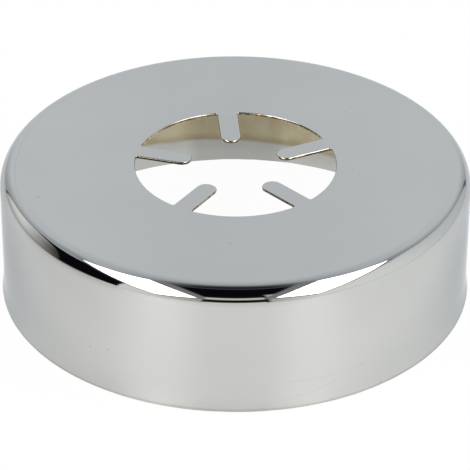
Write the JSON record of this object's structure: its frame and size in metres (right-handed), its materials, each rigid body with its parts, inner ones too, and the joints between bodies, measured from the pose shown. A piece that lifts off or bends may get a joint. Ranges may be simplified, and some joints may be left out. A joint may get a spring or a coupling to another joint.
{
  "type": "pipe escutcheon",
  "caption": "Round drawn sheet-metal cap with a pierced top: spring fingers around the hole grip a pipe, and the slightly flared rim covers the opening where the pipe enters a wall or floor.",
  "frame": {"origin": "centre of the flat rim's plane, on the axis of the cap", "axes": "+Z along the cap's axis from the rim to the pierced top; the back finger lies 5 degrees from +Y towards -X"},
  "size_m": [0.07, 0.07, 0.02],
  "materials": {
    "chrome_plate": "bright nickel and chrome plate on brass sheet, polished outside and plain inside"
  },
  "bodies": {
    "root": {"escutcheon": "chrome_plate"}
  },
  "joints": []
}
